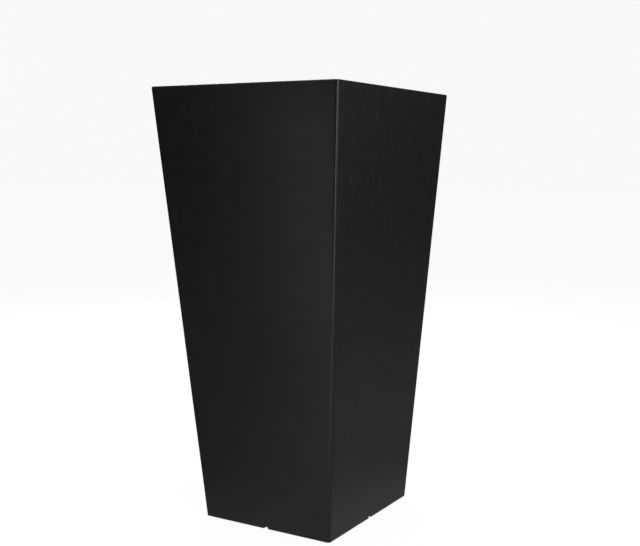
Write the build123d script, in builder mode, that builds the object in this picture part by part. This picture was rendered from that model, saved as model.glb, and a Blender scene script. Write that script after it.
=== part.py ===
from build123d import *
import os

# Tall square planter box, tapering down to its foot. The outer shell carries a lift-out growing
# liner, and a sub-irrigation set stands in the liner: water goes down the fill shaft into a
# reservoir under the separator, the wick baskets raise it into the soil, a float shows its
# level, and the standpipe lets any excess out through the shell's floor and skirt.
#
# Millimetres. +Z is up, the origin is the middle of the foot on the ground, the front is -Y.

# ---- Outer shell ----------------------------------------------------------------------------
top_side = 395.0         # outside of the square rim
base_side = 278.0        # outside of the square foot
height = 800.0           # ground to rim
corner_radius = 5.0      # outside of the four long corners
inner_radius = 10.0      # inside of them, where the lay-up is thicker
wall = 7.0               # side walls, floor and rim
skirt_depth = 14.0       # hollow between the skirt's lower edge and the floor
rim_width = 24.0         # flat of the rim, from the outer edge to the mouth
rim_rounding = 2.5       # outer and inner edges of the rim
mouth_radius = 12.0      # corners of the mouth
lip_wall = 6.0           # turned-down lip inside the mouth, and the ledge at its foot
ledge_depth = 28.0       # rim to the top of the ledge
ledge_width = 11.0       # ledge, inwards from the lip
notch_width = 10.0       # weep notch in the middle of each side of the skirt
notch_height = 4.0
notch_rounding = 1.5
drain_bore = 30.0        # hole in the middle of the floor
anchor_bore = 11.0       # four holes in the floor for ground anchors
anchor_pitch = 160.0     # square that the four holes stand on

# ---- Feet and floor plug --------------------------------------------------------------------
pad_diameter = 30.0
pad_proud = 1.0          # the pads hold the skirt this far off the ground
pad_inset = 6.0          # pad's edge to the inside of the skirt
plug_gap = 0.3           # radial, plug shank in its hole
plug_head_overlap = 6.0  # radial, head over the hole's edge
plug_head_height = 4.0
plug_shank_length = 5.0
plug_easing = 1.0        # bevel at the shank's foot and round the head
plug_tab_width = 16.0    # pull tab on the head
plug_tab_height = 16.0
plug_tab_thickness = 5.0
plug_tab_eye = 7.0

# ---- Growing liner --------------------------------------------------------------------------
liner_depth = 400.0      # underside of the flange to the underside of the floor
liner_wall = 3.0
liner_corner_radius = 24.0
flange_thickness = 4.0
flange_gap = 2.0         # flange to the lip, all round
handle_channel = 8.0     # liner wall to the ledge's edge, where the handle legs run
bead_height = 1.5        # stiffening beads round the liner wall
bead_width = 10.0
bead_count = 3

# ---- Lift handles ---------------------------------------------------------------------------
handle_span = 120.0      # along the side of the liner
handle_width = 16.0
handle_height = 10.0
handle_rounding = 3.0
handle_travel = 60.0
finger_relief_span = 64.0
finger_relief_height = 4.0
leg_width = 14.0
leg_thickness = 3.0
leg_gap = 0.4            # leg in its slot, each side
stop_width = 20.0        # cross-piece at the leg's foot that stops the handle
stop_height = 6.0
stop_slack = 4.0         # left between the stop and the flange at full height

# ---- Overflow standpipe ---------------------------------------------------------------------
pipe_gap = 7.0           # pipe's top to the separator plate
pipe_outer = 20.0
pipe_bore = 16.0
pipe_hole_gap = 0.3      # radial, pipe in the liner floor
pipe_tail = 20.0         # below the liner floor
pipe_collar = 32.0
pipe_collar_height = 3.0
seal_thickness = 2.0
nut_across_flats = 32.0
nut_height = 9.0
comb_slots = 4           # slots in the pipe's top keep a leaf from closing it
comb_slot_width = 4.0
comb_slot_height = 8.0

# ---- Separator and wick baskets -------------------------------------------------------------
reservoir_height = 75.0  # liner floor to the underside of the separator plate
plate_thickness = 3.0
plate_gap = 2.0          # plate to the liner wall, all round
plate_skirt = 10.0       # rim turned down round the plate
plate_corner_radius = 18.0
fit_gap = 0.2            # radial, each fitting in its hole in the plate
vent_bore = 6.0
vent_pitch = 20.0
vent_land = 3.0          # least land between a vent and a fitting
basket_radius = 25.0     # mouth, outside
basket_foot_radius = 21.0
basket_wall = 2.0
basket_shoulder = 4.0    # radial, the plate lies on this shoulder
basket_shoulder_height = 3.0
basket_inset = 14.0      # basket's shoulder to the plate's edge
basket_slots = 8
basket_slot_width = 4.0
basket_slot_margin = 12.0

# ---- Fill shaft and its cap -----------------------------------------------------------------
shaft_outer = 45.0
shaft_bore = 41.0
shaft_drop = 24.0        # rim down to the shaft's mouth
shaft_tail = 15.0        # below the plate
collar_overlap = 6.0     # radial, collar over the plate
collar_height = 5.0      # collars of the shaft and of the level tube
collar_ease = 2.0
shaft_inset = 5.0        # collar to the plate's edge
cap_overhang = 2.0       # radial, cap over the shaft
cap_thickness = 3.0
cap_gap = 0.4            # cap above the shaft's mouth
cap_register = 18.0      # radius of the ring under the cap
cap_register_height = 2.0
cap_register_wall = 1.6
cap_tab = 8.0            # thumb tab, outwards from the cap's edge
cap_tab_width = 14.0
cap_tab_rounding = 4.0
hinge_pin = 3.0
hinge_pin_gap = 0.08     # radial, pin in the cap's knuckle
hinge_pin_end = 0.8      # pin beyond each lug
knuckle_radius = 3.5
knuckle_width = 12.0
knuckle_gap = 0.5        # knuckle to each lug
lug_width = 4.0
lug_root = 16.0          # lug's gusset down the shaft

# ---- Water level indicator ------------------------------------------------------------------
tube_outer = 22.0
tube_bore = 18.0
tube_drop = 18.0         # rim down to the tube's top
tube_floor = 2.0
tube_floor_gap = 3.0     # tube's foot above the liner floor
tube_inlet = 6.0
tube_slots = 4
tube_slot_width = 3.0
tube_slot_height = 30.0
tube_collar_overlap = 4.0
tube_inset = 12.0        # collar to the plate's edge
tube_cap_height = 6.0
tube_cap_wall = 1.5
float_gap = 0.6          # radial, float in the tube
float_height = 40.0
float_rounding = 3.0
float_draught = 10.0     # water that it takes to lift the float
rod_diameter = 3.0
rod_socket = 15.0        # rod in the float
flag_diameter = 12.0
flag_height = 8.0
flag_ease = 1.0
flag_socket = 6.0        # rod in the flag
flag_top_gap = 2.0       # flag to the tube's cap when the reservoir is full

# ---- Levels and sides that follow -----------------------------------------------------------
taper = (top_side - base_side) / height      # side gained per millimetre of height
floor_under = pad_proud + skirt_depth
floor_top = floor_under + wall
rim_under = height - wall
ledge_top = height - ledge_depth
ledge_under = ledge_top - lip_wall
mouth_side = top_side - 2 * rim_width
ledge_opening = mouth_side - 2 * ledge_width
ledge_opening_radius = mouth_radius + ledge_width / 2

flange_top = ledge_top + flange_thickness
flange_side = mouth_side - 2 * flange_gap
liner_top_side = ledge_opening - 2 * handle_channel
liner_under = ledge_top - liner_depth
liner_floor = liner_under + liner_wall

plate_under = liner_floor + reservoir_height
plate_top = plate_under + plate_thickness
shaft_mouth = height - shaft_drop
tube_foot = liner_floor + tube_floor_gap
tube_top = height - tube_drop
float_rest = tube_foot + tube_floor
pipe_top = plate_under - pipe_gap
overflow_level = pipe_top - comb_slot_height         # highest water level
float_travel = overflow_level - liner_floor - float_draught


def shell_side(z):
    """Outside of the shell at height z."""
    return base_side + taper * z


def liner_side(z):
    """Outside of the liner wall at height z, which tapers as the shell does."""
    return liner_top_side - taper * (ledge_top - z)


plate_side = liner_side(plate_under - plate_skirt) - 2 * liner_wall - 2 * plate_gap
basket_offset = plate_side / 2 - basket_inset - basket_radius - basket_shoulder
shaft_offset = plate_side / 2 - shaft_inset - shaft_outer / 2 - collar_overlap
tube_offset = plate_side / 2 - tube_inset - tube_outer / 2 - tube_collar_overlap
pad_offset = shell_side(pad_proud) / 2 - wall - pad_inset - pad_diameter / 2

basket_places = {
    "front": (0, -basket_offset),
    "back": (0, basket_offset),
    "left": (-basket_offset, 0),
    "right": (basket_offset, 0),
}
shaft_x, shaft_y = -shaft_offset, shaft_offset
tube_x, tube_y = tube_offset, tube_offset
pipe_x, pipe_y = -basket_offset, -basket_offset


def tapered_block(z_low, side_low, z_high, side_high, radius):
    """A square block with rounded long edges, from side_low at its foot to side_high."""
    rise = z_high - z_low
    lean = (side_high - side_low) / 2
    with BuildPart() as block:
        with BuildSketch(Plane.XY.offset(z_low)):
            Rectangle(side_low + side_high, side_low + side_high)
        extrude(amount=rise)
        # The oversize blank is cut to its four leaning sides
        for out_x, out_y in ((1, 0), (0, 1), (-1, 0), (0, -1)):
            leaning_side = Plane(
                origin=(out_x * side_low / 2, out_y * side_low / 2, z_low),
                z_dir=(out_x * rise, out_y * rise, -lean),
            )
            split(bisect_by=leaning_side, keep=Keep.BOTTOM)
        fillet(block.edges().filter_by(Plane.XY, reverse=True), radius)
    return block.part


def upright(x, y):
    """The plane in which a turned piece standing at (x, y) has its half section: radius, height."""
    return Plane(origin=(x, y, 0), x_dir=(1, 0, 0), z_dir=(0, -1, 0))


def turned(x, y, *points):
    """A solid of revolution about the vertical through (x, y), from its half section."""
    with BuildPart() as body:
        with BuildSketch(upright(x, y)):
            with BuildLine():
                Polyline(*points, close=True)
            make_face()
        revolve(axis=Axis((x, y, 0), (0, 0, 1)))
    return body.part


def keep(builder, name):
    """Label the finished piece and write it as its own node."""
    builder.part.label = name
    export_step(builder.part, f"parts/{name}.step")


os.makedirs("parts", exist_ok=True)

# ---- Outer shell ----------------------------------------------------------------------------
shell_block = tapered_block(
    pad_proud, shell_side(pad_proud), height, shell_side(height), corner_radius
)
shell_cavity = tapered_block(
    floor_top,
    shell_side(floor_top) - 2 * wall,
    rim_under,
    shell_side(rim_under) - 2 * wall,
    inner_radius,
)
skirt_hollow = tapered_block(
    pad_proud,
    shell_side(pad_proud) - 2 * wall,
    floor_under,
    shell_side(floor_under) - 2 * wall,
    inner_radius,
)

with BuildPart() as outer_shell:
    add(shell_block)
    add(shell_cavity, mode=Mode.SUBTRACT)
    add(skirt_hollow, mode=Mode.SUBTRACT)
    # Mouth through the rim
    with BuildSketch(Plane.XY.offset(rim_under)):
        RectangleRounded(mouth_side, mouth_side, mouth_radius)
    extrude(amount=wall, mode=Mode.SUBTRACT)
    # Both edges of the rim are eased
    fillet(outer_shell.edges().group_by(Axis.Z)[-1], rim_rounding)
    # Turned-down lip
    with BuildSketch(Plane.XY.offset(ledge_under)):
        RectangleRounded(
            mouth_side + 2 * lip_wall, mouth_side + 2 * lip_wall, mouth_radius + lip_wall
        )
        RectangleRounded(mouth_side, mouth_side, mouth_radius, mode=Mode.SUBTRACT)
    extrude(amount=rim_under - ledge_under)
    # Ledge that the liner hangs on
    with BuildSketch(Plane.XY.offset(ledge_under)):
        RectangleRounded(mouth_side, mouth_side, mouth_radius)
        RectangleRounded(
            ledge_opening, ledge_opening, ledge_opening_radius, mode=Mode.SUBTRACT
        )
    extrude(amount=lip_wall)
    # Weep notches, front to back and side to side
    for notch_plane in (Plane.XZ, Plane.YZ):
        with BuildSketch(notch_plane) as notch:
            Rectangle(notch_width, pad_proud + notch_height, align=(Align.CENTER, Align.MIN))
            fillet(notch.vertices().group_by(Axis.Y)[-1], notch_rounding)
        extrude(amount=base_side, both=True, mode=Mode.SUBTRACT)
    # Drain hole and ground-anchor holes in the floor
    with Locations((0, 0, floor_top)):
        Hole(drain_bore / 2, depth=wall)
    with Locations((0, 0, floor_top)):
        with GridLocations(anchor_pitch, anchor_pitch, 2, 2):
            Hole(anchor_bore / 2, depth=wall)
keep(outer_shell, "outer_shell")

with BuildPart() as foot_pads:
    with BuildSketch():
        with GridLocations(2 * pad_offset, 2 * pad_offset, 2, 2):
            Circle(pad_diameter / 2)
    extrude(amount=floor_under)
    chamfer(foot_pads.edges().group_by(Axis.Z)[0], pad_proud / 2)
keep(foot_pads, "foot_pads")

plug_shank_radius = drain_bore / 2 - plug_gap
plug_head_radius = drain_bore / 2 + plug_head_overlap
plug_head_top = floor_top + plug_head_height
plug_body = turned(
    0,
    0,
    (0, floor_top - plug_shank_length),
    (plug_shank_radius - plug_easing, floor_top - plug_shank_length),
    (plug_shank_radius, floor_top - plug_shank_length + plug_easing),
    (plug_shank_radius, floor_top),
    (plug_head_radius, floor_top),
    (plug_head_radius, plug_head_top - plug_easing),
    (plug_head_radius - plug_easing, plug_head_top),
    (0, plug_head_top),
)
with BuildPart() as floor_drain_plug:
    add(plug_body)
    with BuildSketch(Plane.XZ) as tab:
        with Locations((0, plug_head_top)):
            Rectangle(plug_tab_width, plug_tab_height, align=(Align.CENTER, Align.MIN))
        fillet(tab.vertices().group_by(Axis.Y)[-1], plug_tab_width / 3)
        with Locations((0, plug_head_top + plug_tab_height / 2)):
            Circle(plug_tab_eye / 2, mode=Mode.SUBTRACT)
    extrude(amount=plug_tab_thickness / 2, both=True)
keep(floor_drain_plug, "floor_drain_plug")

# ---- Growing liner --------------------------------------------------------------------------
liner_block = tapered_block(
    liner_under, liner_side(liner_under), ledge_top, liner_top_side, liner_corner_radius
)
liner_cavity = tapered_block(
    liner_floor,
    liner_side(liner_floor) - 2 * liner_wall,
    flange_top,
    liner_side(flange_top) - 2 * liner_wall,
    liner_corner_radius - liner_wall,
)
leg_inner = liner_top_side / 2 + (handle_channel - leg_thickness) / 2
leg_centre = leg_inner + leg_thickness / 2
leg_spread = handle_span - leg_width

bead_levels = [liner_under + i * liner_depth / (bead_count + 1) for i in range(1, bead_count + 1)]
beads = [
    tapered_block(
        z - bead_width / 2,
        liner_side(z - bead_width / 2) + 2 * bead_height,
        z + bead_width / 2,
        liner_side(z + bead_width / 2) + 2 * bead_height,
        liner_corner_radius + bead_height,
    )
    for z in bead_levels
]

with BuildPart() as liner:
    add(liner_block)
    add(beads)
    with BuildSketch(Plane.XY.offset(ledge_top)):
        RectangleRounded(flange_side, flange_side, mouth_radius - flange_gap)
    extrude(amount=flange_thickness)
    add(liner_cavity, mode=Mode.SUBTRACT)
    # Slots in the flange for the handle legs
    with Locations((0, 0, ledge_top)):
        with GridLocations(2 * leg_centre, leg_spread, 2, 2):
            Box(
                leg_thickness + 2 * leg_gap,
                leg_width + 2 * leg_gap,
                flange_thickness,
                align=(Align.CENTER, Align.CENTER, Align.MIN),
                mode=Mode.SUBTRACT,
            )
    # Hole in the floor for the standpipe
    with Locations((pipe_x, pipe_y, liner_floor)):
        Hole(pipe_outer / 2 + pipe_hole_gap, depth=liner_wall)
keep(liner, "liner")

# ---- Lift handles ---------------------------------------------------------------------------
leg_foot = ledge_top - handle_travel - stop_slack - stop_height
for side_name, side in (("left", -1), ("right", 1)):
    with BuildPart() as handle:
        bar_centre = side * (liner_top_side / 2 + handle_width / 2)
        with Locations((bar_centre, 0, flange_top)):
            Box(
                handle_width,
                handle_span,
                handle_height,
                align=(Align.CENTER, Align.CENTER, Align.MIN),
            )
        fillet(handle.edges().group_by(Axis.Z)[-1], handle_rounding)
        with Locations((bar_centre, 0, flange_top)):
            Box(
                handle_width,
                finger_relief_span,
                finger_relief_height,
                align=(Align.CENTER, Align.CENTER, Align.MIN),
                mode=Mode.SUBTRACT,
            )
        for leg_y in (-leg_spread / 2, leg_spread / 2):
            with Locations((side * leg_centre, leg_y, leg_foot)):
                Box(
                    leg_thickness,
                    leg_width,
                    flange_top - leg_foot,
                    align=(Align.CENTER, Align.CENTER, Align.MIN),
                )
                Box(
                    leg_thickness,
                    stop_width,
                    stop_height,
                    align=(Align.CENTER, Align.CENTER, Align.MIN),
                )
    keep(handle, f"handle_{side_name}")

# ---- Overflow standpipe ---------------------------------------------------------------------
collar_under = liner_floor + seal_thickness
pipe_body = turned(
    pipe_x,
    pipe_y,
    (pipe_bore / 2, liner_under - pipe_tail),
    (pipe_outer / 2, liner_under - pipe_tail),
    (pipe_outer / 2, collar_under),
    (pipe_collar / 2, collar_under),
    (pipe_collar / 2, collar_under + pipe_collar_height),
    (pipe_outer / 2, collar_under + pipe_collar_height),
    (pipe_outer / 2, pipe_top),
    (pipe_bore / 2, pipe_top),
)
with BuildPart() as overflow_standpipe:
    add(pipe_body)
    with Locations((pipe_x, pipe_y, overflow_level)):
        with PolarLocations(pipe_bore / 2, comb_slots):
            Box(
                pipe_outer - pipe_bore,
                comb_slot_width,
                comb_slot_height,
                align=(Align.CENTER, Align.CENTER, Align.MIN),
                mode=Mode.SUBTRACT,
            )
keep(overflow_standpipe, "overflow_standpipe")

with BuildPart() as standpipe_seal:
    with BuildSketch(Plane.XY.offset(liner_floor)):
        with Locations((pipe_x, pipe_y)):
            Circle(pipe_collar / 2)
            Circle(pipe_outer / 2 + pipe_hole_gap, mode=Mode.SUBTRACT)
    extrude(amount=seal_thickness)
keep(standpipe_seal, "standpipe_seal")

with BuildPart() as standpipe_nut:
    with BuildSketch(Plane.XY.offset(liner_under - nut_height)):
        with Locations((pipe_x, pipe_y)):
            RegularPolygon(nut_across_flats / 2, 6, major_radius=False)
            Circle(pipe_outer / 2, mode=Mode.SUBTRACT)
    extrude(amount=nut_height)
keep(standpipe_nut, "standpipe_nut")

# ---- Separator plate ------------------------------------------------------------------------
basket_hole = basket_radius + fit_gap
shaft_hole = shaft_outer / 2 + fit_gap
tube_hole = tube_outer / 2 + fit_gap
keep_clear = [(x, y, basket_radius + basket_shoulder) for x, y in basket_places.values()]
keep_clear.append((shaft_x, shaft_y, shaft_outer / 2 + collar_overlap))
keep_clear.append((tube_x, tube_y, tube_outer / 2 + tube_collar_overlap))


def is_clear(x, y):
    """True where a vent at (x, y) leaves a land to every fitting in the plate."""
    reach = vent_bore / 2 + vent_land
    return all((x - cx) ** 2 + (y - cy) ** 2 >= (r + reach) ** 2 for cx, cy, r in keep_clear)


vents_across = int((plate_side - 2 * plate_corner_radius) // vent_pitch)
vent_first = -(vents_across - 1) * vent_pitch / 2
vent_line = [vent_first + i * vent_pitch for i in range(vents_across)]
vent_places = [(x, y) for x in vent_line for y in vent_line if is_clear(x, y)]

with BuildPart() as separator_plate:
    with BuildSketch(Plane.XY.offset(plate_under)):
        RectangleRounded(plate_side, plate_side, plate_corner_radius)
        with Locations(*basket_places.values()):
            Circle(basket_hole, mode=Mode.SUBTRACT)
        with Locations((shaft_x, shaft_y)):
            Circle(shaft_hole, mode=Mode.SUBTRACT)
        with Locations((tube_x, tube_y)):
            Circle(tube_hole, mode=Mode.SUBTRACT)
        with Locations(*vent_places):
            Circle(vent_bore / 2, mode=Mode.SUBTRACT)
    extrude(amount=plate_thickness)
    with BuildSketch(Plane.XY.offset(plate_under - plate_skirt)):
        RectangleRounded(plate_side, plate_side, plate_corner_radius)
        offset(amount=-plate_thickness, mode=Mode.SUBTRACT)
    extrude(amount=plate_skirt)
keep(separator_plate, "separator_plate")

# ---- Wick baskets ---------------------------------------------------------------------------
shoulder_under = plate_under - basket_shoulder_height
slot_height = reservoir_height - 2 * basket_slot_margin
for place, (x, y) in basket_places.items():
    cup = turned(
        x,
        y,
        (0, liner_floor),
        (basket_foot_radius, liner_floor),
        (basket_radius, shoulder_under),
        (basket_radius + basket_shoulder, shoulder_under),
        (basket_radius + basket_shoulder, plate_under),
        (basket_radius, plate_under),
        (basket_radius, plate_top),
        (basket_radius - basket_wall, plate_top),
        (basket_foot_radius - basket_wall, liner_floor + basket_wall),
        (0, liner_floor + basket_wall),
    )
    with BuildPart() as basket:
        add(cup)
        with Locations((x, y, liner_floor + reservoir_height / 2)):
            with PolarLocations((basket_radius + basket_foot_radius) / 2, basket_slots):
                Box(4 * basket_wall, basket_slot_width, slot_height, mode=Mode.SUBTRACT)
    keep(basket, f"wick_basket_{place}")

# ---- Fill shaft, cap and hinge pin ----------------------------------------------------------
shaft_radius = shaft_outer / 2
shaft_collar = shaft_radius + collar_overlap
shaft_collar_top = plate_top + collar_height
shaft_body = turned(
    shaft_x,
    shaft_y,
    (shaft_bore / 2, plate_under - shaft_tail),
    (shaft_radius, plate_under - shaft_tail),
    (shaft_radius, plate_top),
    (shaft_collar, plate_top),
    (shaft_collar, shaft_collar_top - collar_ease),
    (shaft_collar - collar_ease, shaft_collar_top),
    (shaft_radius, shaft_collar_top),
    (shaft_radius, shaft_mouth),
    (shaft_bore / 2, shaft_mouth),
)
cap_under = shaft_mouth + cap_gap
cap_radius = shaft_radius + cap_overhang
hinge_y = shaft_y + cap_radius + knuckle_radius
hinge_z = cap_under + cap_thickness / 2
lug_inner = knuckle_width / 2 + knuckle_gap
lug_outer = lug_inner + lug_width

with BuildPart() as fill_shaft:
    add(shaft_body)
    for lug_side in (-1, 1):
        with BuildSketch(Plane.YZ.offset(shaft_x + lug_side * (lug_inner + lug_outer) / 2)):
            with BuildLine():
                Polyline(
                    (shaft_y + shaft_bore / 2, shaft_mouth - lug_root),
                    (hinge_y + knuckle_radius, hinge_z),
                    (hinge_y - knuckle_radius, hinge_z),
                    (hinge_y - knuckle_radius, shaft_mouth),
                    (shaft_y + shaft_bore / 2, shaft_mouth),
                    close=True,
                )
            make_face()
            with Locations((hinge_y, hinge_z)):
                Circle(knuckle_radius)
                Circle(hinge_pin / 2, mode=Mode.SUBTRACT)
        extrude(amount=lug_width / 2, both=True)
    # The lugs stop at the shaft's bore
    with BuildSketch(Plane.XY.offset(shaft_mouth)):
        with Locations((shaft_x, shaft_y)):
            Circle(shaft_bore / 2)
    extrude(amount=-lug_root, mode=Mode.SUBTRACT)
keep(fill_shaft, "fill_shaft")

with BuildPart() as fill_cap:
    with BuildSketch(Plane.XY.offset(cap_under)) as cap_outline:
        with Locations((shaft_x, shaft_y)):
            Circle(cap_radius)
            Rectangle(cap_tab_width, cap_radius + cap_tab, align=(Align.CENTER, Align.MAX))
            Rectangle(knuckle_width, hinge_y - shaft_y, align=(Align.CENTER, Align.MIN))
        fillet(cap_outline.vertices().group_by(Axis.Y)[0], cap_tab_rounding)
    extrude(amount=cap_thickness)
    with BuildSketch(Plane.XY.offset(cap_under)):
        with Locations((shaft_x, shaft_y)):
            Circle(cap_register)
            Circle(cap_register - cap_register_wall, mode=Mode.SUBTRACT)
    extrude(amount=-cap_register_height)
    with BuildSketch(Plane.YZ.offset(shaft_x)):
        with Locations((hinge_y, hinge_z)):
            Circle(knuckle_radius)
    extrude(amount=knuckle_width / 2, both=True)
    with BuildSketch(Plane.YZ.offset(shaft_x)):
        with Locations((hinge_y, hinge_z)):
            Circle(hinge_pin / 2 + hinge_pin_gap)
    extrude(amount=knuckle_width / 2, both=True, mode=Mode.SUBTRACT)
keep(fill_cap, "fill_cap")

with BuildPart() as cap_hinge_pin:
    with BuildSketch(Plane.YZ.offset(shaft_x)):
        with Locations((hinge_y, hinge_z)):
            Circle(hinge_pin / 2)
    extrude(amount=lug_outer + hinge_pin_end, both=True)
    chamfer(cap_hinge_pin.edges().filter_by(GeomType.CIRCLE), hinge_pin_end / 2)
keep(cap_hinge_pin, "cap_hinge_pin")

# ---- Water level indicator ------------------------------------------------------------------
tube_radius = tube_outer / 2
tube_collar = tube_radius + tube_collar_overlap
tube_body = turned(
    tube_x,
    tube_y,
    (tube_inlet / 2, tube_foot),
    (tube_radius, tube_foot),
    (tube_radius, plate_top),
    (tube_collar, plate_top),
    (tube_collar, plate_top + collar_height - collar_ease),
    (tube_collar - collar_ease, plate_top + collar_height),
    (tube_radius, plate_top + collar_height),
    (tube_radius, tube_top),
    (tube_bore / 2, tube_top),
    (tube_bore / 2, float_rest),
    (tube_inlet / 2, float_rest),
)
with BuildPart() as level_tube:
    add(tube_body)
    with Locations((tube_x, tube_y, float_rest)):
        with PolarLocations((tube_radius + tube_bore / 2) / 2, tube_slots):
            Box(
                tube_outer - tube_bore,
                tube_slot_width,
                tube_slot_height,
                align=(Align.CENTER, Align.CENTER, Align.MIN),
                mode=Mode.SUBTRACT,
            )
keep(level_tube, "level_tube")

tube_cap_radius = tube_radius + tube_cap_wall
tube_cap_top = tube_top + 2 * tube_cap_wall
tube_cap_body = turned(
    tube_x,
    tube_y,
    (tube_radius, tube_top - tube_cap_height),
    (tube_cap_radius, tube_top - tube_cap_height),
    (tube_cap_radius, tube_top),
    (tube_cap_radius - 2 * tube_cap_wall, tube_cap_top),
    (0, tube_cap_top),
    (0, tube_top),
    (tube_radius, tube_top),
)
with BuildPart() as level_tube_cap:
    add(tube_cap_body)
keep(level_tube_cap, "level_tube_cap")

float_radius = tube_bore / 2 - float_gap
float_top = float_rest + float_height
flag_top = tube_top - flag_top_gap - float_travel
flag_under = flag_top - flag_height

with BuildPart() as level_float:
    with BuildSketch(Plane.XY.offset(float_rest)):
        with Locations((tube_x, tube_y)):
            Circle(float_radius)
    extrude(amount=float_height)
    fillet(level_float.edges().filter_by(GeomType.CIRCLE), float_rounding)
    with Locations((tube_x, tube_y, float_top)):
        Hole(rod_diameter / 2, depth=rod_socket)
keep(level_float, "level_float")

with BuildPart() as level_rod:
    with BuildSketch(Plane.XY.offset(float_top - rod_socket)):
        with Locations((tube_x, tube_y)):
            Circle(rod_diameter / 2)
    extrude(amount=flag_under + flag_socket - float_top + rod_socket)
keep(level_rod, "level_rod")

with BuildPart() as level_flag:
    with BuildSketch(Plane.XY.offset(flag_under)):
        with Locations((tube_x, tube_y)):
            Circle(flag_diameter / 2)
    extrude(amount=flag_height)
    chamfer(level_flag.edges().filter_by(GeomType.CIRCLE), flag_ease)
    with BuildSketch(Plane.XY.offset(flag_under)):
        with Locations((tube_x, tube_y)):
            Circle(rod_diameter / 2)
    extrude(amount=flag_socket, mode=Mode.SUBTRACT)
keep(level_flag, "level_flag")
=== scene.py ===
import math
import random

import bmesh
import bpy
from mathutils import Matrix, Vector, noise


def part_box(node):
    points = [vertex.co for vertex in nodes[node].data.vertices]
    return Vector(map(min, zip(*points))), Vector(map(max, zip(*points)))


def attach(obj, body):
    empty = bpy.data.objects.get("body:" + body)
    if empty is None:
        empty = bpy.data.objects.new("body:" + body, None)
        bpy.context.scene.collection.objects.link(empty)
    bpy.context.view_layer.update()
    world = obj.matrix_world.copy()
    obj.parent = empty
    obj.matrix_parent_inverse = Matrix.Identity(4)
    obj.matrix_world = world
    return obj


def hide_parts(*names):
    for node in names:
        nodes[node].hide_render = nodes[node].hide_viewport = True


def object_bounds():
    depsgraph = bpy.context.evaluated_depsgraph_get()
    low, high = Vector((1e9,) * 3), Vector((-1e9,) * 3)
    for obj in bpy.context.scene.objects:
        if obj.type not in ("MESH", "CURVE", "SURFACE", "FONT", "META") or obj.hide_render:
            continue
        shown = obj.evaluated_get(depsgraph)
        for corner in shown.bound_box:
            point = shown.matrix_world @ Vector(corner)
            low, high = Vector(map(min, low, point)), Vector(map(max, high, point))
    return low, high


# Looks of a tall tapered planter box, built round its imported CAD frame. Metres, +Z up, the front
# is -Y. The outer shell is a new, finely divided piece; the other pieces are the CAD nodes with
# eased edges and their own materials.

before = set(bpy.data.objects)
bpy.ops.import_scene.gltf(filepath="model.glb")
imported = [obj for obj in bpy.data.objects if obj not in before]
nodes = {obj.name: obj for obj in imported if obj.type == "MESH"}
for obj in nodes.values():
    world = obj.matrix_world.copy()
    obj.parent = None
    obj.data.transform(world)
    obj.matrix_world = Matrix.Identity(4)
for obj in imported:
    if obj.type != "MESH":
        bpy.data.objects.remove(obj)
cad_low, cad_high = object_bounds()

MM = 0.001
near = 0.1 * MM          # closer than this is the same place

# ---- Outer shell, as the CAD has it -----------------------------------------------------------
shell_low, shell_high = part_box("outer_shell")
rim_top = shell_high.z
skirt_foot = shell_low.z
foot_half = max(v.co.x for v in nodes["outer_shell"].data.vertices if v.co.z < skirt_foot + near)
corner_radius = 5 * MM
inner_radius = 10 * MM
wall = 7 * MM
skirt_depth = 14 * MM
rim_width = 24 * MM
rim_rounding = 2.5 * MM
mouth_radius = 12 * MM
lip_wall = 6 * MM
ledge_depth = 28 * MM
ledge_width = 11 * MM
notch_width = 10 * MM
notch_height = 4 * MM
drain_radius = 15 * MM
anchor_radius = 5.5 * MM
anchor_reach = 80 * MM
notch_rounding = 1.5 * MM
foot_easing = 1.2 * MM
inner_easing = 0.6 * MM

top_half = 197.5 * MM
lean = (top_half - foot_half) / (rim_top - skirt_foot)   # gain of the half side with height
floor_under = skirt_foot + skirt_depth
floor_top = floor_under + wall
rim_under = rim_top - wall
ledge_top = rim_top - ledge_depth
ledge_under = ledge_top - lip_wall
mouth_half = top_half - rim_width
ledge_half = mouth_half - ledge_width
collar_half = 1.6 * drain_radius     # last square ring of the floor before the round drain hole
collar_roundness = 3 * wall          # gain of the floor rings' corner radius towards that ring

# ---- Fineness and handwork of the shell -------------------------------------------------------
side_steps = 48          # quads across a flat side
arc_steps = 10           # quads round a corner
wall_steps = 100         # quads up the outer wall
cavity_steps = 24
rim_steps = 6            # quads round the rim's rounded edges
foot_steps = 4
easing_steps = 3
hole_steps = 32
pit_steps = 4            # faces round a quarter of a pit
wave_depth = 0.35 * MM   # slow waves of the moulded sides
wave_length = 0.16
ripple_depth = 0.08 * MM
ripple_length = 0.03
ripple_place = Vector((7, 3, 5))     # where the ripples lie in the noise, apart from the waves
roll_depth = 0.10 * MM   # the sides fall away a little towards their long edges
roll_width = 16 * MM
pit_count = 90
pit_radius = (0.45 * MM, 1.1 * MM)
pit_depth = 0.8          # share of its radius
pit_profile = ((1.0, 0.0), (0.86, 0.3), (0.5, 0.85))   # shares of its radius and of its depth
lowest_pit_row = 8       # rows of the outer wall below it have no pits
sharp_from = math.radians(50)        # faces that meet at more than this have a sharp edge
# The larger pits of the front side: across from the middle, height, radius
front_pits = [
    (128 * MM, 752 * MM, 1.5 * MM),
    (123 * MM, 731 * MM, 1.4 * MM),
    (68 * MM, 670 * MM, 1.6 * MM),
    (107 * MM, 295 * MM, 1.3 * MM),
    (-16 * MM, 120 * MM, 1.5 * MM),
    (73 * MM, 92 * MM, 1.4 * MM),
]

rng = random.Random(472)

# ---- Handwork of the CAD nodes ----------------------------------------------------------------
weld_reach = 0.002 * MM
flat_within = math.radians(0.5)      # facets that turn less than this are one face
edge_easing = 0.3 * MM
eased_from = math.radians(40)        # edges that turn more than this are eased


def shell_half(z):
    """Half of the shell's outer side at height z."""
    return foot_half + lean * (z - skirt_foot)


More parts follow.
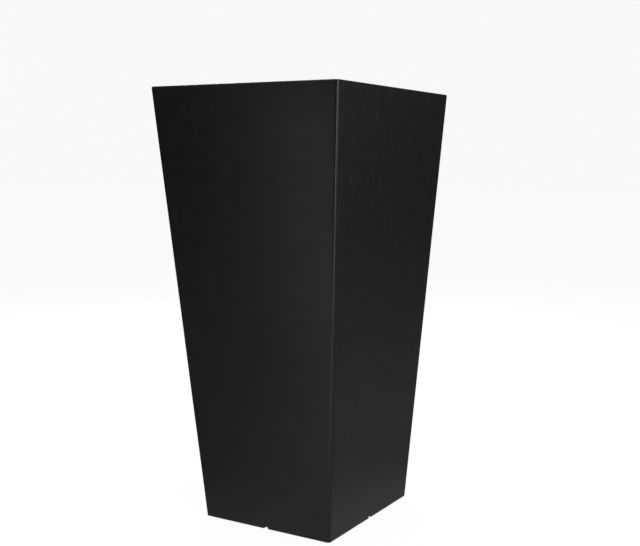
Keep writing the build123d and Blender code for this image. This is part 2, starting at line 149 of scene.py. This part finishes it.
def arc(centre_half, centre_z, radius, start, end, steps):
    """Half side and height of points round an edge, between two angles in degrees from outwards."""
    turns = [math.radians(start + (end - start) * i / steps) for i in range(steps + 1)]
    return [(centre_half + radius * math.cos(t), centre_z + radius * math.sin(t)) for t in turns]


def square_ring(half, radius, z):
    """Points of a rounded square. Each has its outward direction and how far it lies in the
    roll-off to a corner, from 0 on the flat to 1 round the corner."""
    flat = half - radius
    ring = []
    for quarter in range(4):
        turn = Matrix.Rotation(quarter * math.pi / 2, 3, "Z")
        for i in range(side_steps):
            share = 2 * i / side_steps - 1
            # Quads are narrower towards the corners
            y = flat * (share + math.sin(math.pi / 2 * share)) / 2
            roll = max(0, 1 - (flat - abs(y)) / roll_width) ** 2
            ring.append((turn @ Vector((half, y, z)), turn @ Vector((1, 0, 0)), roll))
        for i in range(arc_steps):
            a = math.pi / 2 * i / arc_steps
            out = Vector((math.cos(a), math.sin(a), 0))
            ring.append((turn @ (Vector((flat, flat, z)) + radius * out), turn @ out, 1))
    return ring


def round_ring(radius, z):
    """A circle with one point for each point of a rounded square."""
    ring = []
    for point, _, _ in square_ring(radius, radius / 4, z):
        out = Vector((point.x, point.y, 0)).normalized()
        ring.append((radius * out + Vector((0, 0, z)), out, 0))
    return ring


def shell_rings():
    """Rings from the foot up the outside, over the rim, down the inside and back under the foot.
    Each is (points, is it outer skin, does it follow the waves of the sides)."""
    rings = []

    def add(half, z, radius, skin, wavy=False):
        rings.append((square_ring(half, radius, z), skin, wavy))

    lean_angle = math.degrees(math.atan(lean))
    slant = math.hypot(1, lean)
    # Outside
    foot_z = skirt_foot + foot_easing
    foot_centre = shell_half(foot_z) - foot_easing * slant
    for half, z in arc(foot_centre, foot_z, foot_easing, -90, -lean_angle, foot_steps):
        add(half, z, corner_radius, True, True)
    rim_z = rim_top - rim_rounding
    for i in range(1, wall_steps):
        z = foot_z + (rim_z - foot_z) * i / wall_steps
        add(shell_half(z), z, corner_radius, True, True)
    rim_half = shell_half(rim_z) - rim_rounding * slant
    for half, z in arc(rim_half, rim_z, rim_rounding, -lean_angle, 90, rim_steps):
        add(half, z, corner_radius - (shell_half(rim_z) - half), True, True)
    # Flat of the rim, mouth and lip
    inner_half = mouth_half + rim_rounding
    flat_radius = mouth_radius + rim_rounding
    outer_radius = corner_radius - rim_rounding
    for share in (0.25, 0.5, 0.75):
        half = rim_half + (inner_half - rim_half) * share
        add(half, rim_top, outer_radius + (flat_radius - outer_radius) * share, True)
    for half, z in arc(inner_half, rim_z, rim_rounding, 90, 180, rim_steps):
        add(half, z, mouth_radius + half - mouth_half, True)
    for share in (0.35, 0.7, 1.0):
        add(mouth_half, rim_z + (ledge_top - rim_z) * share, mouth_radius, True)
    # Ledge
    edge_half = ledge_half + inner_easing
    add((mouth_half + edge_half) / 2, ledge_top, mouth_radius, False)
    edge_radius = mouth_radius + ledge_width / 2
    for half, z in arc(edge_half, ledge_top - inner_easing, inner_easing, 90, 180, easing_steps):
        add(half, z, edge_radius, False)
    for half, z in arc(edge_half, ledge_under + inner_easing, inner_easing, 180, 270, easing_steps):
        add(half, z, edge_radius, False)
    lip_half = mouth_half + lip_wall
    add(lip_half - inner_easing, ledge_under, mouth_radius + lip_wall, False)
    for half, z in arc(lip_half - inner_easing, ledge_under + inner_easing,
                       inner_easing, -90, 0, easing_steps):
        add(half, z, mouth_radius + lip_wall, False)
    add(lip_half, rim_under, mouth_radius + lip_wall, False)
    # Cavity and floor, down through the drain hole and out under the floor
    for i in range(cavity_steps + 1):
        z = rim_under + (floor_top - rim_under) * i / cavity_steps
        add(shell_half(z) - wall, z, inner_radius, False)
    cavity_half = shell_half(floor_top) - wall
    for share in (0.2, 0.4, 0.6, 0.8):
        half = cavity_half + (collar_half - cavity_half) * share
        add(half, floor_top, inner_radius + collar_roundness * share, False)
    for share, z in ((1.25, floor_top), (1.02, floor_top), (1.0, floor_top - inner_easing),
                     (1.0, floor_under + inner_easing), (1.02, floor_under), (1.25, floor_under)):
        rings.append((round_ring(drain_radius * share, z), False, False))
    skirt_half = shell_half(floor_under) - wall
    for share in (0.3, 0.65, 1.0):
        half = collar_half + (skirt_half - collar_half) * share
        add(half, floor_under, inner_radius + collar_roundness * (1 - share), False)
    for half, z in arc(shell_half(skirt_foot) - wall + inner_easing, skirt_foot + inner_easing,
                       inner_easing, 180, 270, easing_steps):
        add(half, z, inner_radius, False)
    return rings


def sink(point, out, roll):
    """The point moved inwards by the moulded sides' slow waves, fine ripples and roll-off."""
    wave = 0.5 + 0.5 * noise.noise(point / wave_length)
    ripple = 0.5 + 0.5 * noise.noise(point / ripple_length + ripple_place)
    depth = wave_depth * max(wave, 0) + ripple_depth * max(ripple, 0) + roll_depth * roll
    return point - out * depth


def cut_pit(mesh, face, centre, radius):
    """A round pit in a quad of the outer wall: four flat pieces round it and rings down into it."""
    material = face.material_index
    normal = face.normal.copy()
    corners = [loop.vert for loop in face.loops]
    mesh.faces.remove(face)
    rings = []
    first = (corners[0].co - centre).normalized()
    side = normal.cross(first)
    start = [math.atan2((c.co - centre).dot(side), (c.co - centre).dot(first)) for c in corners]
    angles = []
    for i in range(4):
        here, there = start[i], start[(i + 1) % 4]
        if there <= here:
            there += 2 * math.pi
        angles += [here + (there - here) * k / pit_steps for k in range(pit_steps)]
    for reach, drop in pit_profile:
        ring = []
        for a in angles:
            spoke = math.cos(a) * first + math.sin(a) * side
            ring.append(mesh.verts.new(centre + radius * (reach * spoke - drop * pit_depth * normal)))
        rings.append(ring)
    made = []
    count = len(angles)
    for i in range(4):
        quarter = [rings[0][(i * pit_steps + k) % count] for k in range(pit_steps, -1, -1)]
        made.append(mesh.faces.new([corners[i], corners[(i + 1) % 4]] + quarter))
    for upper, lower in zip(rings, rings[1:]):
        for k in range(count):
            made.append(mesh.faces.new([upper[k], upper[(k + 1) % count], lower[(k + 1) % count], lower[k]]))
    bottom = mesh.verts.new(centre - radius * pit_depth * normal)
    for k in range(count):
        made.append(mesh.faces.new([rings[-1][k], rings[-1][(k + 1) % count], bottom]))
    for f in made:
        f.material_index = material
        f.smooth = True


def add_object(name, data):
    piece = bpy.data.objects.new(name, data)
    bpy.context.scene.collection.objects.link(piece)
    return piece


def cutters():
    """One mesh of the four anchor holes and the four weep notches."""
    length = 3 * wall        # long enough to come out on both sides of a wall
    mesh = bmesh.new()
    for x in (-anchor_reach, anchor_reach):
        for y in (-anchor_reach, anchor_reach):
            place = Matrix.Translation((x, y, (floor_under + floor_top) / 2))
            bmesh.ops.create_cone(mesh, cap_ends=True, segments=hole_steps, radius1=anchor_radius,
                                  radius2=anchor_radius, depth=length, matrix=place)
    for quarter in range(4):
        turn = Matrix.Rotation(quarter * math.pi / 2, 4, "Z")
        place = turn @ Matrix.Translation((foot_half - wall / 2, 0, skirt_foot))
        size = Matrix.Diagonal((length, notch_width, 2 * notch_height, 1))
        cube = bmesh.ops.create_cube(mesh, size=1, matrix=place @ size)
        upper = [e for e in {e for v in cube["verts"] for e in v.link_edges}
                 if all(v.co.z > skirt_foot for v in e.verts)
                 and abs((e.verts[0].co - e.verts[1].co).length - length) < near]
        bmesh.ops.bevel(mesh, geom=upper, offset=notch_rounding, segments=foot_steps,
                        affect="EDGES", profile=0.5)
    data = bpy.data.meshes.new("cutters")
    mesh.to_mesh(data)
    mesh.free()
    return add_object("cutters", data)


def make_shell():
    """The outer shell as one closed skin."""
    mesh = bmesh.new()
    rings = shell_rings()
    rows = []
    for points, _, wavy in rings:
        rows.append([mesh.verts.new(sink(p, out, roll) if wavy else p) for p, out, roll in points])
    count = len(rows[0])
    outer_wall = []
    for i, row in enumerate(rows):
        following = rows[(i + 1) % len(rows)]
        skin = rings[i][1]
        for k in range(count):
            j = (k + 1) % count
            face = mesh.faces.new((row[k], row[j], following[j], following[k]))
            face.material_index = 0 if skin else 1
            face.smooth = True
            on_flat = k % (side_steps + arc_steps) < side_steps
            if lowest_pit_row <= i < wall_steps and on_flat:
                outer_wall.append(face)
    mesh.normal_update()
    middles = {face: face.calc_center_median() for face in outer_wall}
    pits = {}
    for across, z, radius in front_pits:
        place = Vector((across, -shell_half(z), z))
        nearest = min(middles, key=lambda face: (middles[face] - place).length_squared)
        pits[nearest] = radius
    for _ in range(pit_count):
        pits.setdefault(rng.choice(outer_wall), rng.uniform(*pit_radius))
    for face, radius in pits.items():
        cut_pit(mesh, face, middles[face], radius)
    data = bpy.data.meshes.new("planter_shell")
    mesh.to_mesh(data)
    mesh.free()
    shell = add_object("planter_shell", data)
    cutter = cutters()
    cut = shell.modifiers.new("holes", "BOOLEAN")
    cut.operation = "DIFFERENCE"
    cut.solver = "EXACT"
    cut.object = cutter
    bpy.context.view_layer.update()
    depsgraph = bpy.context.evaluated_depsgraph_get()
    finished = bpy.data.meshes.new_from_object(shell.evaluated_get(depsgraph))
    shell.modifiers.clear()
    shell.data = finished
    bpy.data.objects.remove(cutter)
    finished.set_sharp_from_angle(angle=sharp_from)
    return shell


# ---- Materials --------------------------------------------------------------------------------
class Finish:
    """A principled material with a few helpers for its node tree. Sizes are in metres."""

    def __init__(self, name):
        self.material = bpy.data.materials.new(name)
        self.material.use_nodes = True
        self.tree = self.material.node_tree
        self.shader = self.tree.nodes["Principled BSDF"]
        self.place = self.tree.nodes.new("ShaderNodeTexCoord").outputs["Object"]

    def even(self, name, value):
        """Gives one of the shader's inputs a value that is the same all over."""
        self.shader.inputs[name].default_value = value

    def link(self, source, target):
        self.tree.links.new(source, target)

    def stretched(self, scale, turn=(0, 0, 0)):
        """Object coordinates, scaled along each axis and turned by degrees."""
        node = self.tree.nodes.new("ShaderNodeMapping")
        node.inputs["Scale"].default_value = scale
        node.inputs["Rotation"].default_value = [math.radians(a) for a in turn]
        self.link(self.place, node.inputs["Vector"])
        return node.outputs["Vector"]

    def noise(self, size, detail=4.0, roughness=0.5, place=None):
        """Noise with features about size metres across."""
        node = self.tree.nodes.new("ShaderNodeTexNoise")
        node.inputs["Scale"].default_value = 1 / size
        node.inputs["Detail"].default_value = detail
        node.inputs["Roughness"].default_value = roughness
        self.link(place or self.place, node.inputs["Vector"])
        return node.outputs["Fac"]

    def cells(self, size):
        """Distance to the nearest of points strewn about size metres apart."""
        node = self.tree.nodes.new("ShaderNodeTexVoronoi")
        node.inputs["Scale"].default_value = 1 / size
        self.link(self.place, node.inputs["Vector"])
        return node.outputs["Distance"]

    def ramp(self, source, low, high, at_low=0.0, at_high=1.0):
        """source, spread so that low gives at_low and high gives at_high, and held beyond them."""
        node = self.tree.nodes.new("ShaderNodeMapRange")
        node.interpolation_type = "SMOOTHSTEP"
        for name, value in (("From Min", low), ("From Max", high), ("To Min", at_low), ("To Max", at_high)):
            node.inputs[name].default_value = value
        self.link(source, node.inputs["Value"])
        return node.outputs["Result"]

    def join(self, a, b, how="MULTIPLY"):
        node = self.tree.nodes.new("ShaderNodeMath")
        node.operation = how
        for source, target in ((a, node.inputs[0]), (b, node.inputs[1])):
            if isinstance(source, (int, float)):
                target.default_value = source
            else:
                self.link(source, target)
        return node.outputs["Value"]

    def height(self):
        node = self.tree.nodes.new("ShaderNodeSeparateXYZ")
        self.link(self.place, node.inputs["Vector"])
        return node.outputs["Z"]

    def blend(self, share, under, over):
        """Colour that goes from under to over as share goes from 0 to 1."""
        node = self.tree.nodes.new("ShaderNodeMix")
        node.data_type = "RGBA"
        self.link(share, node.inputs["Factor"])
        for source, target in ((under, node.inputs[6]), (over, node.inputs[7])):
            if isinstance(source, tuple):
                target.default_value = (*source, 1)
            else:
                self.link(source, target)
        return node.outputs[2]

    def paint(self, source):
        self.link(source, self.shader.inputs["Base Color"])

    def dull(self, source):
        self.link(source, self.shader.inputs["Roughness"])

    def relief(self, *layers):
        """Bump from (height source, depth in metres) layers, one on another."""
        normal = None
        for source, depth in layers:
            node = self.tree.nodes.new("ShaderNodeBump")
            node.inputs["Strength"].default_value = 1.0
            node.inputs["Distance"].default_value = depth
            self.link(source, node.inputs["Height"])
            if normal is not None:
                self.link(normal, node.inputs["Normal"])
            normal = node.outputs["Normal"]
        self.link(normal, self.shader.inputs["Normal"])


def gelcoat():
    """Satin black outer skin: faint mottle, orange peel, a few specks, and a lighter foot that is partly
    dust and partly painted light bounced up from the floor.
    """
    dust_and_bounce_top = 160 * MM
    dust_and_bounce_share = 0.12
    speck_share = 0.2
    f = Finish("gelcoat")
    mottle = f.ramp(f.noise(30 * MM, detail=8, roughness=0.65), 0.3, 0.75)
    skin = f.blend(mottle, (0.0115, 0.0115, 0.0118), (0.0150, 0.0150, 0.0153))
    # Lighter in patches towards the foot: partly dust, partly painted light bounced up from the floor
    foot_mask_dust_and_bounce = f.ramp(f.height(), dust_and_bounce_top, 0.0)
    foot_dust_and_bounce = f.join(foot_mask_dust_and_bounce, f.ramp(f.noise(20 * MM, detail=8, roughness=0.65), 0.42, 0.72))
    specks = f.ramp(f.cells(12 * MM), 0.10, 0.05)
    specks_dust_and_bounce = f.join(f.join(foot_dust_and_bounce, dust_and_bounce_share), f.join(specks, speck_share), "MAXIMUM")
    # The specks and the lighter foot, which is partly painted floor bounce, over the skin colour
    f.paint(f.blend(specks_dust_and_bounce, skin, (0.05, 0.048, 0.045)))
    f.dull(f.ramp(f.noise(20 * MM, detail=6, roughness=0.6), 0.3, 0.75, at_low=0.31, at_high=0.37))
    orange_peel = f.noise(4 * MM, detail=2, roughness=0.4)
    grain = f.noise(0.7 * MM, detail=2, roughness=0.6)
    f.relief((orange_peel, 0.06 * MM), (grain, 0.01 * MM))
    return f.material


def laminate():
    """Unpainted inside of the shell: dark resin over chopped glass strands."""
    f = Finish("laminate")
    strands = None
    for turn in (12, 74, 133):
        along = f.stretched((1.0, 14.0, 1.0), (turn, turn * 2, turn))
        layer = f.noise(20 * MM, detail=2, roughness=0.5, place=along)
        strands = layer if strands is None else f.join(strands, layer, "MAXIMUM")
    f.paint(f.blend(f.ramp(strands, 0.5, 0.72), (0.014, 0.014, 0.014), (0.045, 0.045, 0.042)))
    f.dull(f.ramp(f.noise(30 * MM), 0.3, 0.7, at_low=0.28, at_high=0.55))
    f.relief((strands, 0.6 * MM), (f.noise(12 * MM), 0.6 * MM))
    return f.material


def moulded(name, color, roughness, grain=0.8 * MM, depth=0.04 * MM):
    """Moulded plastic: spark-eroded grain, faint flow marks, slight soiling."""
    f = Finish(name)
    lighter = tuple(min(1, c * 1.25 + 0.004) for c in color)
    darker = tuple(c * 0.82 for c in color)
    f.paint(f.blend(f.ramp(f.noise(30 * MM, detail=6, roughness=0.6), 0.3, 0.7), darker, lighter))
    worn = f.noise(12 * MM, detail=5)
    f.dull(f.ramp(worn, 0.3, 0.7, at_low=roughness - 0.06, at_high=roughness + 0.08))
    f.relief((f.noise(grain, detail=2, roughness=0.6), depth), (f.noise(20 * MM, detail=2), depth))
    return f.material


def rubber():
    """Matt black rubber, rubbed grey in places."""
    f = Finish("rubber")
    f.even("Roughness", 0.75)
    f.even("Specular IOR Level", 0.35)
    rubbed = f.ramp(f.noise(8 * MM, detail=6, roughness=0.65), 0.35, 0.75)
    f.paint(f.blend(rubbed, (0.016, 0.016, 0.016), (0.04, 0.038, 0.036)))
    f.relief((f.noise(1.2 * MM, roughness=0.6), 0.08 * MM))
    return f.material


def steel():
    """Stainless steel with fine drawing lines."""
    f = Finish("steel")
    f.even("Base Color", (0.6, 0.6, 0.61, 1))
    f.even("Metallic", 1.0)
    lines = f.noise(1 * MM, detail=3, roughness=0.6, place=f.stretched((0.02, 1, 1)))
    f.dull(f.ramp(lines, 0.3, 0.7, at_low=0.2, at_high=0.4))
    f.relief((lines, 0.01 * MM))
    return f.material


def clear():
    """Clear plastic, a little clouded in places."""
    f = Finish("clear")
    f.even("Base Color", (0.93, 0.95, 0.95, 1))
    f.even("Transmission Weight", 0.9)
    f.even("IOR", 1.45)
    f.dull(f.ramp(f.noise(20 * MM, detail=6, roughness=0.6), 0.35, 0.8, at_low=0.05, at_high=0.2))
    f.relief((f.noise(20 * MM, detail=2), 0.05 * MM))
    return f.material


def foam():
    """Pale expanded foam with its beads showing."""
    f = Finish("foam")
    f.even("Roughness", 0.85)
    f.even("Specular IOR Level", 0.2)
    beads = f.cells(2.5 * MM)
    f.paint(f.blend(f.ramp(beads, 0.2, 0.7), (0.82, 0.80, 0.76), (0.62, 0.60, 0.55)))
    f.relief((beads, -0.3 * MM))
    return f.material


# What makes the finish of each CAD node, and the nodes that share another node's finish
node_finish = {
    "foot_pads": rubber,
    "floor_drain_plug": rubber,
    "standpipe_seal": rubber,
    "liner": lambda: moulded("liner", (0.045, 0.046, 0.048), 0.5, grain=1.2 * MM, depth=0.07 * MM),
    "handle_left": lambda: moulded("handle", (0.075, 0.077, 0.08), 0.48),
    "separator_plate": lambda: moulded("separator", (0.11, 0.112, 0.115), 0.5),
    "overflow_standpipe": lambda: moulded("pipe", (0.2, 0.21, 0.22), 0.33, depth=0.01 * MM),
    "fill_cap": lambda: moulded("cap", (0.04, 0.16, 0.32), 0.4),
    "cap_hinge_pin": steel,
    "level_rod": steel,
    "level_tube": clear,
    "level_float": foam,
    "level_flag": lambda: moulded("flag", (0.62, 0.03, 0.02), 0.3, depth=0.01 * MM),
}
same_finish = {
    "handle_right": "handle_left",
    "standpipe_nut": "overflow_standpipe",
    "fill_shaft": "separator_plate",
    "level_tube_cap": "level_tube",
    **{f"wick_basket_{side}": "separator_plate" for side in ("front", "back", "left", "right")},
}


def ease_edges(piece):
    """Welds a CAD node's facets into clean faces and rounds its sharp edges a little."""
    piece.modifiers.new("weld", "WELD").merge_threshold = weld_reach
    clean = piece.modifiers.new("clean", "DECIMATE")
    clean.decimate_type = "DISSOLVE"
    clean.angle_limit = flat_within
    ease = piece.modifiers.new("ease", "BEVEL")
    ease.width = edge_easing
    ease.segments = 2
    ease.limit_method = "ANGLE"
    ease.angle_limit = eased_from
    ease.use_clamp_overlap = True
    ease.harden_normals = False
    piece.modifiers.new("shade", "WEIGHTED_NORMAL").keep_sharp = True


# ---- Pieces -----------------------------------------------------------------------------------
shell = make_shell()
shell.data.materials.clear()
shell.data.materials.append(gelcoat())
shell.data.materials.append(laminate())
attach(shell, "shell")
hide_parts("outer_shell")

finishes = {node_name: make() for node_name, make in node_finish.items()}
for node_name, piece in nodes.items():
    if node_name == "outer_shell":
        continue
    piece.material_slots[0].material = finishes[same_finish.get(node_name, node_name)]
    ease_edges(piece)

# ---- Stage ------------------------------------------------------------------------------------
backdrop = 0.94          # pale grey that the camera sees all round
floor_shade = 0.08       # share of the real light, with its shadows, on the floor that it sees
floor_reach = 20
floor_albedo = 0.15      # floor and room as the planter mirrors them
room = 0.051
# Bright places on the floor that the planter mirrors: middle, radius, glow
pools = [
    ((0.0, 0.0), 0.45, 0.33),
    ((0.3, -0.9), 0.9, 0.80),
    ((0.5, 0.5), 0.45, 0.035),
]
# Soft lights round the planter's middle: name, azimuth and elevation in degrees, distance,
# width and height, watts. Azimuth 0 is the front and 90 the right.
soft_lights = [
    ("overhead", 0, 89, 3.0, (2.5, 2.5), 93),
    ("front_left", -25, 25, 2.8, (0.6, 0.6), 2.4),
    ("strip_left", -25, 4, 1.0, (0.15, 0.72), 0.105),
    ("strip_front", -12, 4, 0.7, (0.15, 0.64), 0.145),
    ("near_right", 60, 5, 1.35, (0.35, 0.7), 2.9),
    ("low_right", 57, -13, 1.15, (0.3, 0.25), 0.5),
    ("high_right", 92, 25, 1.35, (0.35, 0.7), 3.8),
    ("right", 115, 8, 2.8, (0.7, 1.0), 3.9),
    ("behind", 220, 20, 2.8, (1.0, 1.2), 30),
]
camera_place = (1.026, -1.481, 0.669)
camera_turn = 27.81      # degrees, from looking straight at the front
camera_down = 6.66
camera_roll = 0.37
camera_lens = 53.23
camera_sensor = 36
camera_shift = -0.158    # the planter stands left of where the camera points


def camera_only(tree, seen, unseen):
    """A shader that the camera sees as one thing and all other rays as another."""
    path = tree.nodes.new("ShaderNodeLightPath")
    mix = tree.nodes.new("ShaderNodeMixShader")
    tree.links.new(path.outputs["Is Camera Ray"], mix.inputs["Fac"])
    tree.links.new(unseen, mix.inputs[1])
    tree.links.new(seen, mix.inputs[2])
    return mix.outputs["Shader"]


def add_shaders(tree, first, second):
    node = tree.nodes.new("ShaderNodeAddShader")
    tree.links.new(first, node.inputs[0])
    tree.links.new(second, node.inputs[1])
    return node.outputs["Shader"]


def matt(tree, albedo):
    node = tree.nodes.new("ShaderNodeBsdfDiffuse")
    node.inputs["Color"].default_value = (albedo, albedo, albedo, 1)
    return node.outputs["BSDF"]


def pool(tree, middle, radius, glow):
    """Light from a round place on the floor that fades to its edge."""
    place = tree.nodes.new("ShaderNodeTexCoord")
    distance = tree.nodes.new("ShaderNodeVectorMath")
    distance.operation = "DISTANCE"
    distance.inputs[1].default_value = (*middle, 0)
    tree.links.new(place.outputs["Object"], distance.inputs[0])
    fade = tree.nodes.new("ShaderNodeMapRange")
    fade.interpolation_type = "SMOOTHSTEP"
    for name, value in (("From Max", radius), ("To Min", glow), ("To Max", 0)):
        fade.inputs[name].default_value = value
    tree.links.new(distance.outputs["Value"], fade.inputs["Value"])
    light = tree.nodes.new("ShaderNodeEmission")
    tree.links.new(fade.outputs["Result"], light.inputs["Color"])
    return light.outputs["Emission"]


def pale_floor():
    """Pale seamless floor. The camera sees an even glow with soft shadows on it."""
    data = bpy.data.meshes.new("floor")
    corners = [(floor_reach * x, floor_reach * y, 0) for x, y in ((-1, -1), (1, -1), (1, 1), (-1, 1))]
    data.from_pydata(corners, [], [(0, 1, 2, 3)])
    floor = add_object("floor", data)
    material = bpy.data.materials.new("floor")
    material.use_nodes = True
    tree = material.node_tree
    tree.nodes.remove(tree.nodes["Principled BSDF"])
    glow = tree.nodes.new("ShaderNodeEmission")
    glow.inputs["Color"].default_value = (backdrop, backdrop, backdrop, 1)
    seen = add_shaders(tree, glow.outputs["Emission"], matt(tree, floor_shade))
    unseen = matt(tree, floor_albedo)
    for middle, radius, strength in pools:
        unseen = add_shaders(tree, unseen, pool(tree, middle, radius, strength))
    # Clear from below, so that the underside can be looked at
    one_sided = tree.nodes.new("ShaderNodeMixShader")
    tree.links.new(tree.nodes.new("ShaderNodeNewGeometry").outputs["Backfacing"], one_sided.inputs["Fac"])
    tree.links.new(camera_only(tree, seen, unseen), one_sided.inputs[1])
    tree.links.new(tree.nodes.new("ShaderNodeBsdfTransparent").outputs["BSDF"], one_sided.inputs[2])
    tree.links.new(one_sided.outputs["Shader"], tree.nodes["Material Output"].inputs["Surface"])
    data.materials.append(material)


def surroundings():
    """A pale backdrop for the camera and a dim room for the planter."""
    world = bpy.data.worlds.new("surroundings")
    bpy.context.scene.world = world
    world.use_nodes = True
    tree = world.node_tree
    seen = tree.nodes["Background"]
    seen.inputs["Color"].default_value = (backdrop, backdrop, backdrop, 1)
    dim = tree.nodes.new("ShaderNodeBackground")
    dim.inputs["Color"].default_value = (room, room, room, 1)
    shader = camera_only(tree, seen.outputs[0], dim.outputs[0])
    tree.links.new(shader, tree.nodes["World Output"].inputs["Surface"])


def softbox(name, azimuth, elevation, distance, size, watts):
    """A rectangular soft light that looks at the middle of the planter and isn't in the picture."""
    light = bpy.data.lights.new(name, "AREA")
    light.shape = "RECTANGLE"
    light.size, light.size_y = size
    light.energy = watts
    lamp = add_object(name, light)
    lamp.visible_camera = False
    a, e = math.radians(azimuth), math.radians(elevation)
    middle = (cad_low + cad_high) / 2
    away = Vector((math.sin(a) * math.cos(e), -math.cos(a) * math.cos(e), math.sin(e)))
    lamp.location = middle + distance * away
    lamp.rotation_euler = away.to_track_quat("Z", "Y").to_euler()


def camera():
    """Camera a little above the planter's middle, looking slightly down at its near corner."""
    data = bpy.data.cameras.new("camera")
    data.sensor_width = camera_sensor
    data.lens = camera_lens
    data.shift_x = camera_shift
    cam = add_object("camera", data)
    cam.location = camera_place
    turn = Matrix.Rotation(math.radians(camera_turn), 3, "Z")
    tilt = Matrix.Rotation(math.radians(90 - camera_down), 3, "X")
    roll = Matrix.Rotation(math.radians(camera_roll), 3, "Z")
    cam.rotation_euler = (turn @ tilt @ roll).to_euler()
    bpy.context.scene.camera = cam


pale_floor()
surroundings()
for light in soft_lights:
    softbox(*light)
camera()
bpy.context.scene.view_settings.view_transform = "Standard"
